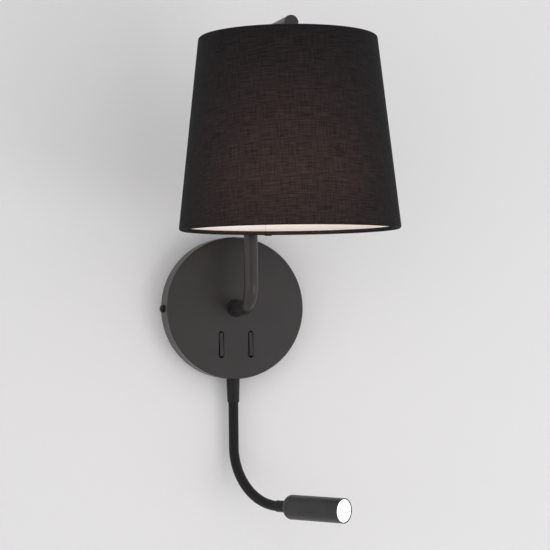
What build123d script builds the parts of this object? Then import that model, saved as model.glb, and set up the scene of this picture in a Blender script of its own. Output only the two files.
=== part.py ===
from build123d import *
import os
from math import cos, pi, radians, sin, sqrt

# Bedside wall reading lamp: a round canopy on the wall, a bent tube arm that carries a tapered
# fabric shade, and a flexible neck with a small spot head below the canopy.
# Millimetres. X runs to the right as one faces the wall, Y into the wall and Z up.
# The origin is the centre of the canopy's rim, on the wall.

# ---- wall bracket -------------------------------------------------------------------------
STRAP_THICKNESS = 1.5
STRAP_WIDTH = 24.0
CABLE_HOLE_RADIUS = 10.0
SLOT_SPACING = 70.0
SLOT_LENGTH = 12.0
SLOT_WIDTH = 5.0
TAB_WIDTH = 12.0
TAB_DEPTH = 15.0

# ---- canopy -------------------------------------------------------------------------------
CANOPY_RADIUS = 63.0
CANOPY_DEPTH = 20.5
CANOPY_WALL = 1.5
CANOPY_EDGE_RADIUS = 1.2
SIDE_SCREW_DEPTH = 8.4
SIDE_SCREW_SHANK_RADIUS = 1.9
SIDE_SCREW_HEAD_RADIUS = 3.5
SIDE_SCREW_HEAD_HEIGHT = 3.0
SIDE_SCREW_LENGTH = 5.0

# ---- pieces behind the canopy ---------------------------------------------------------------
TERMINAL_WIDTH = 15.0
TERMINAL_HEIGHT = 18.0
TERMINAL_DEPTH = 11.0
TERMINAL_X = 20.5
TERMINAL_BORE_RADIUS = 1.6
EARTH_SCREW_X = -20.0
EARTH_SCREW_RADIUS = 1.9
EARTH_HEAD_RADIUS = 3.8
EARTH_HEAD_HEIGHT = 2.4
DRIVER_WIDTH = 44.0
DRIVER_HEIGHT = 20.0
DRIVER_DEPTH = 13.0
DRIVER_Z = 32.0
DRIVER_EDGE = 1.5

# ---- arm ------------------------------------------------------------------------------------
TUBE_RADIUS = 6.0
TUBE_WALL = 1.1
RISER_GAP = 12.5
ARM_HEIGHT = 228.5
ARM_OVERHANG = 9.7
ARM_BEND_RADIUS = 20.0
END_CAP_THICKNESS = 1.2
END_CAP_SPIGOT = 3.5
COLLAR_RADIUS = 8.0
COLLAR_THICKNESS = 2.0
NIPPLE_BORE_RADIUS = 3.2
NIPPLE_INSERT = 14.0
NIPPLE_TAIL = 8.0
LOCK_WASHER_RADIUS = 9.0
LOCK_WASHER_THICKNESS = 1.0
LOCK_NUT_WIDTH = 14.0
LOCK_NUT_THICKNESS = 4.0

# ---- lampholder and lamp --------------------------------------------------------------------
HOLDER_NIPPLE_RADIUS = 4.0
HOLDER_NIPPLE_BORE = 2.6
HOLDER_NIPPLE_IN_TUBE = 3.0
HOLDER_NIPPLE_IN_CAP = 12.0
HOLDER_NECK_RADIUS = 8.0
HOLDER_NECK_LENGTH = 6.0
HOLDER_CAP_HEIGHT = 25.5
HOLDER_SHOULDER_RADIUS = 21.8
HOLDER_SHOULDER_HEIGHT = 5.0
HOLDER_SKIRT_RADIUS = 20.0
HOLDER_SKIRT_LENGTH = 31.0
HOLDER_WALL = 2.0
HOLDER_CORE_THICKNESS = 7.0
HOLDER_CORE_DEPTH = 2.0
SHELL_RADIUS = 13.4
SHELL_WALL = 0.4
SHELL_LENGTH = 21.0
CONTACT_LENGTH = 12.0
CONTACT_WIDTH = 4.0
CONTACT_THICKNESS = 0.5
CONTACT_DROP = 1.0
LAMP_CAP_RADIUS = 13.0
LAMP_CAP_LENGTH = 25.5
LAMP_TIP_RADIUS = 4.5
LAMP_TIP_HEIGHT = 2.5
LAMP_COLLAR_RADIUS = 14.5
LAMP_BODY_RADIUS = 25.0
LAMP_BODY_LENGTH = 23.0
GLOBE_RADIUS = 27.5
GLOBE_BELLY = 23.0
GLOBE_WALL = 1.2

# ---- shade ----------------------------------------------------------------------------------
SHADE_REACH = 176.5
SHADE_BOTTOM_RADIUS = 90.0
SHADE_TOP_RADIUS = 72.5
SHADE_HEIGHT = 156.0
FABRIC_THICKNESS = 0.5
LINING_THICKNESS = 0.4
HEM_HEIGHT = 4.0
RING_WIRE_RADIUS = 1.3
SPIDER_WIRE_RADIUS = 1.1
SPIDER_ARMS = 3
FITTER_RADIUS = 29.0
FITTER_THICKNESS = 1.5
FITTER_DROP = 25.8
RING_NUT_RADIUS = 26.0
RING_NUT_HEIGHT = 5.5

# ---- rocker switches --------------------------------------------------------------------------
SWITCH_X = 13.6
SWITCH_Z = -32.4
ROCKER_LENGTH = 22.6
ROCKER_WIDTH = 3.4
ROCKER_GAP = 0.7
ROCKER_PROUD = 1.2
ROCKER_EDGE = 0.5
ROCKER_PIVOT_DEPTH = 4.0
ROCKER_BACK = 3.0
ROCKER_TILT = 5.0
SWITCH_BODY_WIDTH = 11.0
SWITCH_BODY_LENGTH = 30.0
SWITCH_BODY_DEPTH = 12.0
SWITCH_FLOOR = 2.5
SWITCH_PIN_RADIUS = 0.8
SWITCH_PIN_LENGTH = 9.0
TERMINAL_BLADE_WIDTH = 4.8
TERMINAL_BLADE_LENGTH = 4.5
TERMINAL_BLADE_THICKNESS = 0.8
TERMINAL_BLADE_SPACING = 16.0

# ---- gooseneck ----------------------------------------------------------------------------------
NECK_DEPTH = 9.5
NECK_TURN = 32.0
FERRULE_LENGTH = 21.0
FERRULE_TOP_RADIUS = 5.95
FERRULE_MOUTH_RADIUS = 5.25
FERRULE_STEM_RADIUS = 4.9
FERRULE_STEM_BORE = 3.0
FERRULE_SEAT = 2.0
BASE_NUT_WIDTH = 13.0
BASE_NUT_THICKNESS = 3.0
STEM_TAIL = 1.5
NECK_RADIUS = 4.4
NECK_BORE = 2.5
NECK_DROP = 39.5
NECK_BEND_RADIUS = 50.0
NECK_PIVOT_INSET = 2.0
NECK_BALL_RADIUS = 6.0
STRAIGHT_LINKS = 3
CURVED_LINKS = 7

# ---- spot head ------------------------------------------------------------------------------------
CUFF_RADIUS = 5.1
CUFF_LENGTH = 12.0
CUFF_SOCKET = 6.0
CUFF_TAIL = 7.0
CUFF_BORE = 2.6
HEAD_RADIUS = 10.75
HEAD_LENGTH = 62.0
HEAD_REAR_RADIUS = 6.6
HEAD_SHOULDER = 6.5
HEAD_REAR_WALL = 2.5
HEAD_WALL = 0.9
HEAD_NUT_RADIUS = 8.0
HEAD_NUT_THICKNESS = 3.0
HEATSINK_START = 24.0
HEATSINK_LENGTH = 20.0
HEATSINK_BORE = 1.5
BOARD_THICKNESS = 1.0
BOARD_RADIUS = 8.6
CHIP_SIDE = 3.6
CHIP_THICKNESS = 0.8
LENS_LENGTH = 14.5
LENS_REAR_RADIUS = 4.2
LENS_RIM_THICKNESS = 3.0
LENS_INSET = 0.5
LENS_HOLDER_WALL = 1.4
LENS_HOLDER_LENGTH = 6.0

# ---- fits -------------------------------------------------------------------------------------------
FIT_CLEARANCE = 0.1
RUNNING_CLEARANCE = 0.08
LOOSE_CLEARANCE = 0.3

# ---- sizes that follow --------------------------------------------------------------------------------
CANOPY_FRONT_Y = -CANOPY_DEPTH
CANOPY_BACK_OF_FACE_Y = CANOPY_FRONT_Y + CANOPY_WALL
CANOPY_INNER_RADIUS = CANOPY_RADIUS - CANOPY_WALL
TAB_OUTER_X = sqrt(CANOPY_INNER_RADIUS**2 - (TAB_WIDTH / 2) ** 2) - LOOSE_CLEARANCE
NIPPLE_RADIUS = TUBE_RADIUS - TUBE_WALL - FIT_CLEARANCE
NIPPLE_HOLE_RADIUS = NIPPLE_RADIUS + FIT_CLEARANCE
ARM_END_REACH = SHADE_REACH + ARM_OVERHANG
ARM_STRAIGHT_END_Y = -ARM_END_REACH + END_CAP_THICKNESS
RISER_REACH = SHADE_REACH - SHADE_BOTTOM_RADIUS - RISER_GAP - TUBE_RADIUS
HOLDER_TOP_Z = ARM_HEIGHT - TUBE_RADIUS - FIT_CLEARANCE
HOLDER_CAP_END_Z = HOLDER_TOP_Z - HOLDER_CAP_HEIGHT
HOLDER_BODY_TOP_Z = HOLDER_CAP_END_Z - FIT_CLEARANCE
HOLDER_SEAT_Z = HOLDER_BODY_TOP_Z - HOLDER_SHOULDER_HEIGHT
FITTER_TOP_Z = HOLDER_SEAT_Z - FIT_CLEARANCE
SHADE_TOP_Z = FITTER_TOP_Z + FITTER_DROP
SHADE_BOTTOM_Z = SHADE_TOP_Z - SHADE_HEIGHT
HOLDER_CORE_Z = HOLDER_BODY_TOP_Z - HOLDER_CORE_DEPTH - HOLDER_CORE_THICKNESS
LAMP_TIP_Z = HOLDER_CORE_Z - CONTACT_DROP - CONTACT_THICKNESS - FIT_CLEARANCE
LAMP_COLLAR_Z = LAMP_TIP_Z - LAMP_CAP_LENGTH
GLOBE_TOP_Z = LAMP_COLLAR_Z - LAMP_BODY_LENGTH
HEM_DEPTH = FABRIC_THICKNESS * 2 + LINING_THICKNESS + RING_WIRE_RADIUS * 2 + FIT_CLEARANCE * 3
ROCKER_PIVOT_Y = CANOPY_FRONT_Y + ROCKER_PIVOT_DEPTH
FERRULE_TOP_Z = -CANOPY_RADIUS
FERRULE_MOUTH_Z = FERRULE_TOP_Z - FERRULE_LENGTH
BASE_NUT_CORNER = BASE_NUT_WIDTH / sqrt(3)
BASE_NUT_SEAT_Z = -sqrt(CANOPY_INNER_RADIUS**2 - BASE_NUT_CORNER**2) + FIT_CLEARANCE
STEM_TOP_Z = BASE_NUT_SEAT_Z + BASE_NUT_THICKNESS + STEM_TAIL
NECK_SIN = sin(radians(NECK_TURN))
NECK_COS = cos(radians(NECK_TURN))
HEAD_INNER_RADIUS = HEAD_RADIUS - HEAD_WALL
HEATSINK_RADIUS = HEAD_INNER_RADIUS - FIT_CLEARANCE
BOARD_START = HEATSINK_START + HEATSINK_LENGTH
CHIP_START = BOARD_START + BOARD_THICKNESS
LENS_END = HEAD_LENGTH - LENS_INSET
LENS_START = LENS_END - LENS_LENGTH
ALIGN_UP = (Align.CENTER, Align.CENTER, Align.MIN)


def turned(points):
    """A closed (radius, height) outline turned about Z."""
    outline = Polyline(*[(radius, 0, height) for radius, height in points], close=True)
    return revolve(make_face(outline), axis=Axis.Z)


def along_y(y_start, x=0.0, z=0.0):
    """A plane at y_start whose normal points into the wall."""
    return Plane(origin=(x, y_start, z), x_dir=(1, 0, 0), z_dir=(0, 1, 0))


def disc_along_y(radius, y_start, y_end, x=0.0, z=0.0):
    """A round bar along Y from y_start to y_end."""
    return extrude(along_y(y_start, x, z) * Circle(radius), amount=y_end - y_start)


def block(x_range, y_range, z_range):
    """A box between two limits on each axis."""
    size = [limit[1] - limit[0] for limit in (x_range, y_range, z_range)]
    centre = [(limit[0] + limit[1]) / 2 for limit in (x_range, y_range, z_range)]
    return Pos(*centre) * Box(*size)


def hexagon_along_y(width, y_start, y_end):
    """A hexagonal bar along Y, width across its flats."""
    return extrude(along_y(y_start) * RegularPolygon(width / sqrt(3), 6), amount=y_end - y_start)


def wall_bracket():
    """Steel strap on the wall: cable hole, two screw slots and a tapped tab at each end."""
    half = TAB_OUTER_X
    neck_start = half - STRAP_WIDTH / 2
    strap = block((-neck_start, neck_start), (-STRAP_THICKNESS, 0), (-STRAP_WIDTH / 2, STRAP_WIDTH / 2))
    strap += block((-half, half), (-STRAP_THICKNESS, 0), (-TAB_WIDTH / 2, TAB_WIDTH / 2))
    for side in (-1, 1):
        edges = sorted((side * half, side * (half - STRAP_THICKNESS)))
        strap += block(edges, (-TAB_DEPTH, 0), (-TAB_WIDTH / 2, TAB_WIDTH / 2))
    strap -= disc_along_y(CABLE_HOLE_RADIUS, -STRAP_THICKNESS, 0)
    for side in (-1, 1):
        slot = along_y(-STRAP_THICKNESS, side * SLOT_SPACING / 2) * SlotOverall(SLOT_LENGTH, SLOT_WIDTH)
        strap -= extrude(slot, amount=STRAP_THICKNESS)
    strap -= disc_along_y(EARTH_SCREW_RADIUS + FIT_CLEARANCE, -STRAP_THICKNESS, 0, EARTH_SCREW_X)
    tap = Cylinder(SIDE_SCREW_SHANK_RADIUS + FIT_CLEARANCE, 2 * CANOPY_RADIUS, rotation=(0, 90, 0))
    return strap - Pos(0, -SIDE_SCREW_DEPTH, 0) * tap


def canopy():
    """Pressed steel cup, open to the wall, with its holes."""
    cup = disc_along_y(CANOPY_RADIUS, CANOPY_FRONT_Y, 0)
    front_edge = cup.edges().filter_by(GeomType.CIRCLE).sort_by(Axis.Y)[0]
    cup = fillet(front_edge, CANOPY_EDGE_RADIUS)
    cup -= disc_along_y(CANOPY_INNER_RADIUS, CANOPY_BACK_OF_FACE_Y, 0)
    cup -= disc_along_y(NIPPLE_HOLE_RADIUS, CANOPY_FRONT_Y, CANOPY_BACK_OF_FACE_Y)
    for side in (-1, 1):
        opening = along_y(CANOPY_FRONT_Y, side * SWITCH_X, SWITCH_Z)
        slot = opening * Rot(0, 0, 90) * SlotOverall(
            ROCKER_LENGTH + 2 * ROCKER_GAP, ROCKER_WIDTH + 2 * ROCKER_GAP
        )
        cup -= extrude(slot, amount=CANOPY_WALL)
    screw_hole = Cylinder(SIDE_SCREW_SHANK_RADIUS + LOOSE_CLEARANCE, 3 * CANOPY_RADIUS, rotation=(0, 90, 0))
    cup -= Pos(0, -SIDE_SCREW_DEPTH, 0) * screw_hole
    neck_hole = Cylinder(FERRULE_STEM_RADIUS + FIT_CLEARANCE, 3 * CANOPY_WALL)
    return cup - Pos(0, -NECK_DEPTH, -CANOPY_RADIUS + CANOPY_WALL) * neck_hole


def canopy_side_screws():
    """Two button-head screws that hold the canopy to the bracket's tabs."""
    head = Cylinder(SIDE_SCREW_HEAD_RADIUS, SIDE_SCREW_HEAD_HEIGHT, align=ALIGN_UP)
    rim = head.edges().filter_by(GeomType.CIRCLE).sort_by(Axis.Z)[-1]
    head = fillet(rim, SIDE_SCREW_HEAD_HEIGHT * 0.7)
    head -= Pos(0, 0, SIDE_SCREW_HEAD_HEIGHT / 2) * extrude(
        RegularPolygon(SIDE_SCREW_SHANK_RADIUS * 0.7, 6), amount=SIDE_SCREW_HEAD_HEIGHT
    )
    shank = Cylinder(SIDE_SCREW_SHANK_RADIUS, SIDE_SCREW_LENGTH, align=(Align.CENTER, Align.CENTER, Align.MAX))
    screw = head + shank
    right = Pos(CANOPY_RADIUS, -SIDE_SCREW_DEPTH, 0) * Rot(0, 90, 0) * screw
    left = Pos(-CANOPY_RADIUS, -SIDE_SCREW_DEPTH, 0) * Rot(0, -90, 0) * screw
    return Compound([left, right])


def earth_screw():
    """Pan-head earth screw in the bracket."""
    head = disc_along_y(EARTH_HEAD_RADIUS, -STRAP_THICKNESS - EARTH_HEAD_HEIGHT, -STRAP_THICKNESS, EARTH_SCREW_X)
    shank = disc_along_y(EARTH_SCREW_RADIUS, -STRAP_THICKNESS, -FIT_CLEARANCE, EARTH_SCREW_X)
    driver_slot = block(
        (EARTH_SCREW_X - EARTH_HEAD_RADIUS, EARTH_SCREW_X + EARTH_HEAD_RADIUS),
        (-STRAP_THICKNESS - EARTH_HEAD_HEIGHT, -STRAP_THICKNESS - EARTH_HEAD_HEIGHT / 2),
        (-EARTH_SCREW_RADIUS / 4, EARTH_SCREW_RADIUS / 4),
    )
    return head + shank - driver_slot


def terminal_block():
    """Two-way terminal block on the strap, with its wire bores."""
    front = -STRAP_THICKNESS - TERMINAL_DEPTH
    body = block(
        (TERMINAL_X - TERMINAL_WIDTH / 2, TERMINAL_X + TERMINAL_WIDTH / 2),
        (front, -STRAP_THICKNESS),
        (-TERMINAL_HEIGHT / 2, TERMINAL_HEIGHT / 2),
    )
    for side in (-1, 1):
        bore = Cylinder(TERMINAL_BORE_RADIUS, TERMINAL_HEIGHT)
        body -= Pos(TERMINAL_X + side * TERMINAL_WIDTH / 4, (front - STRAP_THICKNESS) / 2, 0) * bore
    return body


def led_driver():
    """Potted supply for the spot head, taped to the inside of the canopy's face."""
    case = block(
        (-DRIVER_WIDTH / 2, DRIVER_WIDTH / 2),
        (CANOPY_BACK_OF_FACE_Y, CANOPY_BACK_OF_FACE_Y + DRIVER_DEPTH),
        (DRIVER_Z - DRIVER_HEIGHT / 2, DRIVER_Z + DRIVER_HEIGHT / 2),
    )
    return fillet(case.edges().filter_by(Axis.Y), DRIVER_EDGE)


def arm_tube():
    """Bent steel tube: out from the canopy, up behind the shade and forward over its top."""
    path = FilletPolyline(
        (0, CANOPY_FRONT_Y, 0),
        (0, -RISER_REACH, 0),
        (0, -RISER_REACH, ARM_HEIGHT),
        (0, ARM_STRAIGHT_END_Y, ARM_HEIGHT),
        radius=ARM_BEND_RADIUS,
    )
    section = Plane(origin=(0, CANOPY_FRONT_Y, 0), z_dir=(0, -1, 0)) * (
        Circle(TUBE_RADIUS) - Circle(TUBE_RADIUS - TUBE_WALL)
    )
    tube = sweep(section, path=path)
    drill = Cylinder(HOLDER_NIPPLE_RADIUS + FIT_CLEARANCE, TUBE_RADIUS, align=(Align.CENTER, Align.CENTER, Align.MAX))
    return tube - Pos(0, -SHADE_REACH, ARM_HEIGHT - TUBE_RADIUS / 2) * drill


def arm_collar():
    """Turned ring round the tube where it meets the canopy."""
    inner = TUBE_RADIUS + FIT_CLEARANCE
    edge = COLLAR_THICKNESS / 4
    ring = turned(
        [
            (inner, 0),
            (COLLAR_RADIUS, 0),
            (COLLAR_RADIUS, COLLAR_THICKNESS - edge),
            (COLLAR_RADIUS - edge, COLLAR_THICKNESS),
            (inner, COLLAR_THICKNESS),
        ]
    )
    return Pos(0, CANOPY_FRONT_Y, 0) * Rot(90, 0, 0) * ring


def arm_nipple():
    """Hollow threaded stud that joins the tube to the canopy's face."""
    y_outer = CANOPY_FRONT_Y - NIPPLE_INSERT
    y_inner = CANOPY_BACK_OF_FACE_Y + NIPPLE_TAIL
    return disc_along_y(NIPPLE_RADIUS, y_outer, y_inner) - disc_along_y(NIPPLE_BORE_RADIUS, y_outer, y_inner)


def arm_lock_washer():
    """Washer behind the canopy's face."""
    y_back = CANOPY_BACK_OF_FACE_Y + LOCK_WASHER_THICKNESS
    washer = disc_along_y(LOCK_WASHER_RADIUS, CANOPY_BACK_OF_FACE_Y, y_back)
    return washer - disc_along_y(NIPPLE_HOLE_RADIUS, CANOPY_BACK_OF_FACE_Y, y_back)


def arm_lock_nut():
    """Hexagon nut on the stud."""
    y_front = CANOPY_BACK_OF_FACE_Y + LOCK_WASHER_THICKNESS
    y_back = y_front + LOCK_NUT_THICKNESS
    return hexagon_along_y(LOCK_NUT_WIDTH, y_front, y_back) - disc_along_y(NIPPLE_HOLE_RADIUS, y_front, y_back)


def arm_end_cap():
    """Flat plug in the arm's front end."""
    cap = disc_along_y(TUBE_RADIUS, -ARM_END_REACH, ARM_STRAIGHT_END_Y, z=ARM_HEIGHT)
    spigot_radius = TUBE_RADIUS - TUBE_WALL - FIT_CLEARANCE
    spigot_end = ARM_STRAIGHT_END_Y + END_CAP_SPIGOT
    return cap + disc_along_y(spigot_radius, ARM_STRAIGHT_END_Y, spigot_end, z=ARM_HEIGHT)


def holder_nipple():
    """Hollow stud brazed into the arm's underside that carries the lampholder."""
    top = ARM_HEIGHT - TUBE_RADIUS + HOLDER_NIPPLE_IN_TUBE
    bottom = HOLDER_TOP_Z - HOLDER_NIPPLE_IN_CAP
    stud = turned(
        [
            (HOLDER_NIPPLE_BORE, bottom),
            (HOLDER_NIPPLE_RADIUS, bottom),
            (HOLDER_NIPPLE_RADIUS, top),
            (HOLDER_NIPPLE_BORE, top),
        ]
    )
    return Pos(0, -SHADE_REACH, 0) * stud


def lampholder_cap():
    """Domed upper half of the lampholder."""
    hole = HOLDER_NIPPLE_RADIUS + FIT_CLEARANCE
    neck_z = HOLDER_TOP_Z - HOLDER_NECK_LENGTH
    dome_z = HOLDER_CAP_END_Z + HOLDER_CAP_HEIGHT / 3
    inside_z = neck_z - HOLDER_NECK_LENGTH / 2
    cap = turned(
        [
            (hole, HOLDER_TOP_Z),
            (HOLDER_NECK_RADIUS, HOLDER_TOP_Z),
            (HOLDER_NECK_RADIUS, neck_z),
            (HOLDER_SHOULDER_RADIUS - HOLDER_WALL, neck_z - HOLDER_WALL),
            (HOLDER_SHOULDER_RADIUS, dome_z),
            (HOLDER_SHOULDER_RADIUS, HOLDER_CAP_END_Z),
            (HOLDER_SHOULDER_RADIUS - HOLDER_WALL, HOLDER_CAP_END_Z),
            (HOLDER_SHOULDER_RADIUS - HOLDER_WALL, dome_z),
            (HOLDER_SHOULDER_RADIUS - 2 * HOLDER_WALL, inside_z),
            (hole, inside_z),
        ]
    )
    return Pos(0, -SHADE_REACH, 0) * cap


def lampholder_body():
    """Threaded lower half of the lampholder, with the shoulder the shade hangs from."""
    skirt_end = HOLDER_SEAT_Z - HOLDER_SKIRT_LENGTH
    bore = HOLDER_SKIRT_RADIUS - HOLDER_WALL
    body = turned(
        [
            (bore, HOLDER_BODY_TOP_Z),
            (HOLDER_SHOULDER_RADIUS, HOLDER_BODY_TOP_Z),
            (HOLDER_SHOULDER_RADIUS, HOLDER_SEAT_Z),
            (HOLDER_SKIRT_RADIUS, HOLDER_SEAT_Z),
            (HOLDER_SKIRT_RADIUS, skirt_end),
            (bore, skirt_end),
        ]
    )
    return Pos(0, -SHADE_REACH, 0) * body


def lampholder_core():
    """Moulded core that holds the contacts."""
    core = Cylinder(HOLDER_SKIRT_RADIUS - HOLDER_WALL - FIT_CLEARANCE, HOLDER_CORE_THICKNESS, align=ALIGN_UP)
    return Pos(0, -SHADE_REACH, HOLDER_CORE_Z) * core


def lampholder_shell():
    """Pressed screw shell below the core."""
    top = HOLDER_CORE_Z - FIT_CLEARANCE
    shell = turned(
        [
            (SHELL_RADIUS, top),
            (SHELL_RADIUS + SHELL_WALL, top),
            (SHELL_RADIUS + SHELL_WALL, top - SHELL_LENGTH),
            (SHELL_RADIUS, top - SHELL_LENGTH),
        ]
    )
    return Pos(0, -SHADE_REACH, 0) * shell


def lampholder_contact():
    """Centre contact: a strip with a foot on the core and a raised end over the lamp's tip."""
    half = CONTACT_LENGTH / 2
    foot_z = (HOLDER_CORE_Z - CONTACT_DROP, HOLDER_CORE_Z)
    strip_z = (HOLDER_CORE_Z - CONTACT_DROP - CONTACT_THICKNESS, HOLDER_CORE_Z - CONTACT_DROP)
    y_range = (-SHADE_REACH - CONTACT_WIDTH / 2, -SHADE_REACH + CONTACT_WIDTH / 2)
    foot = block((half - CONTACT_WIDTH, half), y_range, foot_z)
    return foot + block((-half, half), y_range, strip_z)


def lamp_cap():
    """Screw cap of the lamp, with its centre contact."""
    shoulder = LAMP_TIP_Z - LAMP_TIP_HEIGHT
    cap = turned(
        [
            (0, LAMP_TIP_Z),
            (LAMP_TIP_RADIUS, LAMP_TIP_Z),
            (LAMP_CAP_RADIUS, shoulder),
            (LAMP_CAP_RADIUS, LAMP_COLLAR_Z),
            (0, LAMP_COLLAR_Z),
        ]
    )
    return Pos(0, -SHADE_REACH, 0) * cap


def lamp_body():
    """Flared plastic body between the cap and the globe."""
    outline = make_face(
        Wire(
            [
                Line((0, 0, GLOBE_TOP_Z), (LAMP_BODY_RADIUS, 0, GLOBE_TOP_Z)),
                ThreePointArc(
                    (LAMP_BODY_RADIUS, 0, GLOBE_TOP_Z),
                    ((LAMP_BODY_RADIUS + LAMP_COLLAR_RADIUS) / 2 - 1, 0, GLOBE_TOP_Z + LAMP_BODY_LENGTH / 2),
                    (LAMP_COLLAR_RADIUS, 0, LAMP_COLLAR_Z),
                ),
                Line((LAMP_COLLAR_RADIUS, 0, LAMP_COLLAR_Z), (0, 0, LAMP_COLLAR_Z)),
                Line((0, 0, LAMP_COLLAR_Z), (0, 0, GLOBE_TOP_Z)),
            ]
        )
    )
    return Pos(0, -SHADE_REACH, 0) * revolve(outline, axis=Axis.Z)


def globe_outline(inset):
    """Half outline of the globe, drawn in by inset, closed along its axis."""
    top = LAMP_BODY_RADIUS - inset
    belly = GLOBE_RADIUS - inset
    belly_z = GLOBE_TOP_Z - GLOBE_BELLY
    end = belly_z - belly
    upper = ThreePointArc(
        (top, 0, GLOBE_TOP_Z),
        (belly - (belly - top) / 4, 0, GLOBE_TOP_Z - GLOBE_BELLY / 2),
        (belly, 0, belly_z),
    )
    lower = ThreePointArc(
        (belly, 0, belly_z),
        (belly * cos(pi / 4), 0, belly_z - belly * sin(pi / 4)),
        (0, 0, end),
    )
    axis_line = Line((0, 0, end), (0, 0, GLOBE_TOP_Z))
    top_line = Line((0, 0, GLOBE_TOP_Z), (top, 0, GLOBE_TOP_Z))
    return make_face(Wire([upper, lower, axis_line, top_line]))


def lamp_globe():
    """Opal globe, a thin shell seated on the lamp's body."""
    outer = revolve(globe_outline(0), axis=Axis.Z)
    inner = revolve(globe_outline(GLOBE_WALL), axis=Axis.Z)
    return Pos(0, -SHADE_REACH, 0) * (outer - inner)


def shade_radius(z):
    """Outer radius of the shade at a height."""
    share = (z - SHADE_BOTTOM_Z) / SHADE_HEIGHT
    return SHADE_BOTTOM_RADIUS + (SHADE_TOP_RADIUS - SHADE_BOTTOM_RADIUS) * share


def ring_height(top):
    """Height of a shade ring's wire inside its hem."""
    inset = FABRIC_THICKNESS + FIT_CLEARANCE + RING_WIRE_RADIUS
    return SHADE_TOP_Z - inset if top else SHADE_BOTTOM_Z + inset


def ring_radius(top):
    """Radius of a shade ring's wire, against the lining."""
    inset = FABRIC_THICKNESS + LINING_THICKNESS + RING_WIRE_RADIUS + 2 * FIT_CLEARANCE
    return shade_radius(ring_height(top)) - inset


def shade_fabric():
    """Tapered textile drum whose edges are turned in over the two rings."""
    low = SHADE_BOTTOM_Z
    high = SHADE_TOP_Z
    wall = FABRIC_THICKNESS
    hem_low = low + HEM_HEIGHT
    hem_high = high - HEM_HEIGHT
    cloth = turned(
        [
            (shade_radius(low), low),
            (shade_radius(high), high),
            (shade_radius(high) - HEM_DEPTH, high),
            (shade_radius(hem_high) - HEM_DEPTH, hem_high),
            (shade_radius(hem_high) - HEM_DEPTH + wall, hem_high),
            (shade_radius(high) - HEM_DEPTH + wall, high - wall),
            (shade_radius(high) - wall, high - wall),
            (shade_radius(low) - wall, low + wall),
            (shade_radius(low) - HEM_DEPTH + wall, low + wall),
            (shade_radius(hem_low) - HEM_DEPTH + wall, hem_low),
            (shade_radius(hem_low) - HEM_DEPTH, hem_low),
            (shade_radius(low) - HEM_DEPTH, low),
        ]
    )
    cloth = Pos(0, -SHADE_REACH, 0) * cloth
    for arm in spider_arm_bars(SPIDER_WIRE_RADIUS + LOOSE_CLEARANCE):
        cloth -= arm
    return cloth


def shade_lining():
    """White film laminated inside the cloth."""
    low = ring_height(False)
    high = ring_height(True)
    outer = FABRIC_THICKNESS + FIT_CLEARANCE
    inner = outer + LINING_THICKNESS
    film = turned(
        [
            (shade_radius(low) - outer, low),
            (shade_radius(high) - outer, high),
            (shade_radius(high) - inner, high),
            (shade_radius(low) - inner, low),
        ]
    )
    return Pos(0, -SHADE_REACH, 0) * film


def spider_arm_bars(radius):
    """The spider's sloping arms, from the fitter up to the top ring."""
    foot = (FITTER_RADIUS - SPIDER_WIRE_RADIUS, FITTER_TOP_Z - FITTER_THICKNESS / 2)
    head = (ring_radius(True), ring_height(True))
    run = Vector(head[0] - foot[0], 0, head[1] - foot[1])
    bars = []
    for index in range(SPIDER_ARMS):
        start = Plane(origin=(foot[0], 0, foot[1]), z_dir=run)
        bar = extrude(start * Circle(radius), amount=run.length)
        bars.append(Pos(0, -SHADE_REACH, 0) * Rot(0, 0, 90 + index * 360 / SPIDER_ARMS) * bar)
    return bars


def shade_spider():
    """Wire carrier of the shade: fitter ring, sloping arms and top ring, welded together."""
    fitter = Cylinder(FITTER_RADIUS, FITTER_THICKNESS) - Cylinder(
        HOLDER_SKIRT_RADIUS + LOOSE_CLEARANCE, FITTER_THICKNESS
    )
    spider = Pos(0, -SHADE_REACH, FITTER_TOP_Z - FITTER_THICKNESS / 2) * fitter
    spider += Pos(0, -SHADE_REACH, ring_height(True)) * Torus(ring_radius(True), RING_WIRE_RADIUS)
    for bar in spider_arm_bars(SPIDER_WIRE_RADIUS):
        spider += bar
    return spider


def shade_bottom_ring():
    """Wire ring in the shade's lower hem."""
    return Pos(0, -SHADE_REACH, ring_height(False)) * Torus(ring_radius(False), RING_WIRE_RADIUS)


def shade_ring_nut():
    """Moulded ring nut that clamps the fitter against the lampholder's shoulder."""
    top = FITTER_TOP_Z - FITTER_THICKNESS - FIT_CLEARANCE
    bottom = top - RING_NUT_HEIGHT
    bore = HOLDER_SKIRT_RADIUS + FIT_CLEARANCE
    ring = turned(
        [
            (bore, top),
            (RING_NUT_RADIUS, top),
            (RING_NUT_RADIUS, top - RING_NUT_HEIGHT / 2),
            (RING_NUT_RADIUS - HOLDER_WALL, bottom),
            (bore, bottom),
        ]
    )
    return Pos(0, -SHADE_REACH, 0) * ring


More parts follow.
